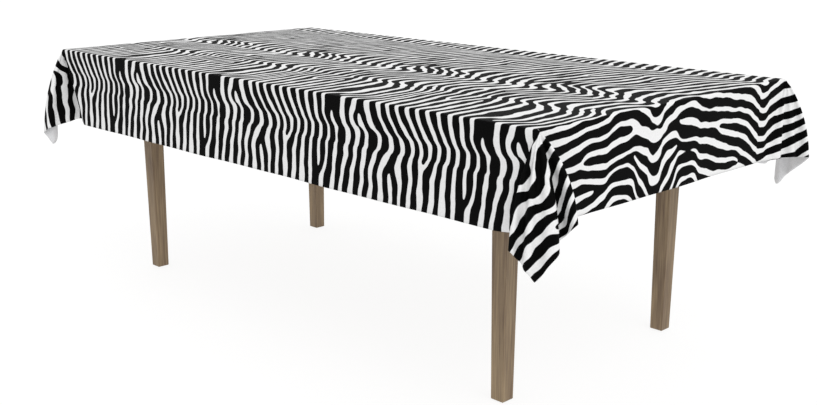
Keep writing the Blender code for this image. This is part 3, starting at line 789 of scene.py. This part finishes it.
# %% Dye the cloth
EDGE_SHARPNESS = 8.0      # how fast white turns to black where the wave crosses zero
printed, tree, shader = new_material("zebra_print", 0.70)
slub = weave(tree, shader)
black_share = number(tree, "MULTIPLY_ADD", stripe_wave(tree), EDGE_SHARPNESS, 0.5)
black_share.node.use_clamp = True
ink = tree.nodes.new("ShaderNodeMix")
ink.data_type = "RGBA"
tree.links.new(black_share, ink.inputs["Factor"])
tree.links.new(colours(tree, slub, [(0.3, 0.70, 0.70, 0.70), (0.7, 0.78, 0.78, 0.78)]),
               ink.inputs["A"])
tree.links.new(colours(tree, slub, [(0.3, 0.0005, 0.0005, 0.0005), (0.7, 0.002, 0.002, 0.002)]),
               ink.inputs["B"])
tree.links.new(ink.outputs["Result"], shader.inputs["Base Color"])
shader.inputs["Specular IOR Level"].default_value = 0.04

reverse, tree, shader = new_material("cloth_reverse", 0.75)
slub = weave(tree, shader)
tree.links.new(colours(tree, slub, [(0.3, 0.60, 0.60, 0.61), (0.7, 0.70, 0.70, 0.71)]),
               shader.inputs["Base Color"])
sheet_mesh.materials.append(printed)
sheet_mesh.materials.append(reverse)
print("cloth materials", [m.name for m in sheet_mesh.materials])

# %% [markdown]
# ## Wood
#
# Straight-grained wood shows slow bands from its growth rings and fine streaks from its pores.
# Rings cut from a whole log would be truer on end grain, but little of that is seen, so the
# wood is noise that is drawn out along each board. The legs are taupe, the rails a shade
# lighter, the board lighter again, and the hidden blocks raw.

# %% Mix the woods
def wood(name, grain, dark, middle, light, roughness):
    """Wood in three tones, with its grain along axis 0, 1 or 2."""
    material, tree, shader = new_material(name, roughness)
    slow = [9.0, 9.0, 9.0]
    fine = [95.0, 95.0, 95.0]
    slow[grain] = 0.9
    fine[grain] = 2.6
    bands = noise(tree, stretched(tree, slow), 4.0, 4.0)
    streaks = noise(tree, stretched(tree, fine), 3.0, 3.0)
    tone = number(tree, "MULTIPLY_ADD", streaks, 0.55, number(tree, "MULTIPLY", bands, 0.45))
    tree.links.new(colours(tree, tone, [(0.36, *dark), (0.50, *middle), (0.64, *light)]),
                   shader.inputs["Base Color"])
    bump(tree, shader, streaks, 0.0003, 0.5)
    return material


TAUPE = ((0.108, 0.066, 0.036), (0.190, 0.131, 0.073), (0.268, 0.192, 0.108))
RAIL = ((0.135, 0.088, 0.050), (0.212, 0.148, 0.088), (0.280, 0.202, 0.122))
BOARD = ((0.27, 0.19, 0.115), (0.36, 0.26, 0.165), (0.44, 0.33, 0.22))
RAW = ((0.36, 0.26, 0.155), (0.46, 0.345, 0.215), (0.55, 0.425, 0.28))
leg_wood = wood("leg_wood", 2, *TAUPE, 0.58)
rail_along = wood("rail_wood_along", 0, *RAIL, 0.58)
rail_across = wood("rail_wood_across", 1, *RAIL, 0.58)
board_wood = wood("board_wood", 0, *BOARD, 0.42)
block_wood = wood("block_wood", 2, *RAW, 0.70)
woods = (leg_wood, rail_along, rail_across, board_wood, block_wood)
print("woods", [material.name for material in woods])

# %% [markdown]
# ## Metal and nylon
#
# Zinc plate is bright but cloudy. One even grey would look like paint, so its roughness and
# tint wander a little. The glides are dark moulded nylon, whose fine grain is a small bump.

# %% Mix the metal and the nylon
zinc, tree, shader = new_material("zinc_steel", 0.35, 1.0)
cloud = noise(tree, stretched(tree, (1, 1, 1)), 240.0, 3.0)
tree.links.new(colours(tree, cloud, [(0.3, 0.48, 0.48, 0.50), (0.7, 0.66, 0.66, 0.67)]),
               shader.inputs["Base Color"])
tree.links.new(number(tree, "MULTIPLY_ADD", cloud, 0.25, 0.24), shader.inputs["Roughness"])

nylon, tree, shader = new_material("glide_nylon", 0.5)
grain = noise(tree, stretched(tree, (1, 1, 1)), 900.0, 2.0)
tree.links.new(colours(tree, grain, [(0.3, 0.042, 0.037, 0.032), (0.7, 0.062, 0.056, 0.05)]),
               shader.inputs["Base Color"])
bump(tree, shader, grain, 0.0001, 0.5)
print("other finishes", zinc.name, nylon.name)

# %% [markdown]
# Every piece but the cloth keeps its own shape and takes one of these finishes. Naming all of
# them one by one would be a long list, so the finish follows from how the piece's name begins.

# %% Finish each piece of the table
def finish_for(name):
    """(material, the part's own finish name) for one piece of the frame, by its name."""
    if name.startswith("leg_"):
        return leg_wood, "leg_wood"
    if name in ("apron_front", "apron_back"):
        return rail_along, "rail_wood"
    if name.startswith(("apron_", "cross_rail_")):
        return rail_across, "rail_wood"
    if name == "table_top":
        return board_wood, "board_wood"
    if name.startswith(("corner_block_", "button_")):
        return block_wood, "block_wood"
    if name.startswith("glide_"):
        return nylon, "glide_nylon"
    return zinc, "zinc_steel"


for name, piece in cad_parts.items():
    if name == "tablecloth":
        continue
    material, slot_name = finish_for(name)
    piece.data.materials.clear()
    piece.data.materials.append(material)
print("pieces finished", len(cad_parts) - 1)

# %% [markdown]
# ## The studio
#
# A pale floor that runs out of sight, an even white surround, and one soft lamp above the near
# end. A lamp close by would light a table of two metres unevenly, so it is a sun with a wide
# disc. It makes the end drop and the top a little brighter than the long drop. The floor glows
# by itself, which keeps it nearly white and its shadow faint.

# %% Floor, lamp and surround
FAR = 60    # metres from the middle to the floor's edges
floor_mesh = bpy.data.meshes.new("floor")
floor_mesh.from_pydata([(-FAR, -FAR, 0), (FAR, -FAR, 0), (FAR, FAR, 0), (-FAR, FAR, 0)],
                       [], [(0, 1, 2, 3)])
floor = bpy.data.objects.new("floor", floor_mesh)
bpy.context.collection.objects.link(floor)
paper, tree, shader = new_material("paper_floor", 0.9)
shader.inputs["Base Color"].default_value = (0.12, 0.12, 0.12, 1)
shader.inputs["Emission Color"].default_value = (1, 1, 1, 1)
shader.inputs["Emission Strength"].default_value = 0.88
shader.inputs["Specular IOR Level"].default_value = 0.1
floor_mesh.materials.append(paper)

world = bpy.data.worlds.new("surround")
bpy.context.scene.world = world
world.use_nodes = True
world.node_tree.nodes["Background"].inputs["Color"].default_value = (1, 1, 1, 1)
world.node_tree.nodes["Background"].inputs["Strength"].default_value = 1.0

lamp = bpy.data.lights.new("lamp", "SUN")
lamp.energy = 1.0
lamp.angle = math.radians(50)
lamp_stand = bpy.data.objects.new("lamp", lamp)
lamp_stand.rotation_euler = Vector((0.75, -0.15, 0.9)).to_track_quat("Z", "Y").to_euler()
bpy.context.collection.objects.link(lamp_stand)
bpy.context.scene.view_settings.view_transform = "Standard"
print("lamp", lamp.type, "of", lamp.energy, "W/m2")

# %% [markdown]
# The camera stands off the near right corner, at about the height of a seated person's eyes, and
# looks down by about fourteen degrees. A longer lens from further away would flatten the table,
# and a shorter one would stretch the near corner.

# %% Camera
LOOK_DOWN = 14.43     # degrees
LOOK_ROUND = 45.40
camera = bpy.data.cameras.new("camera")
camera.lens = 49.36
camera.sensor_width = 36
camera_stand = bpy.data.objects.new("camera", camera)
camera_stand.location = (2.4524, -2.3334, 1.1739)
camera_stand.rotation_euler = (math.radians(90 - LOOK_DOWN), 0, math.radians(LOOK_ROUND))
bpy.context.collection.objects.link(camera_stand)
bpy.context.scene.camera = camera_stand
print("camera", round(camera_stand.location.z, 2), "m over the floor, lens", camera.lens, "mm")
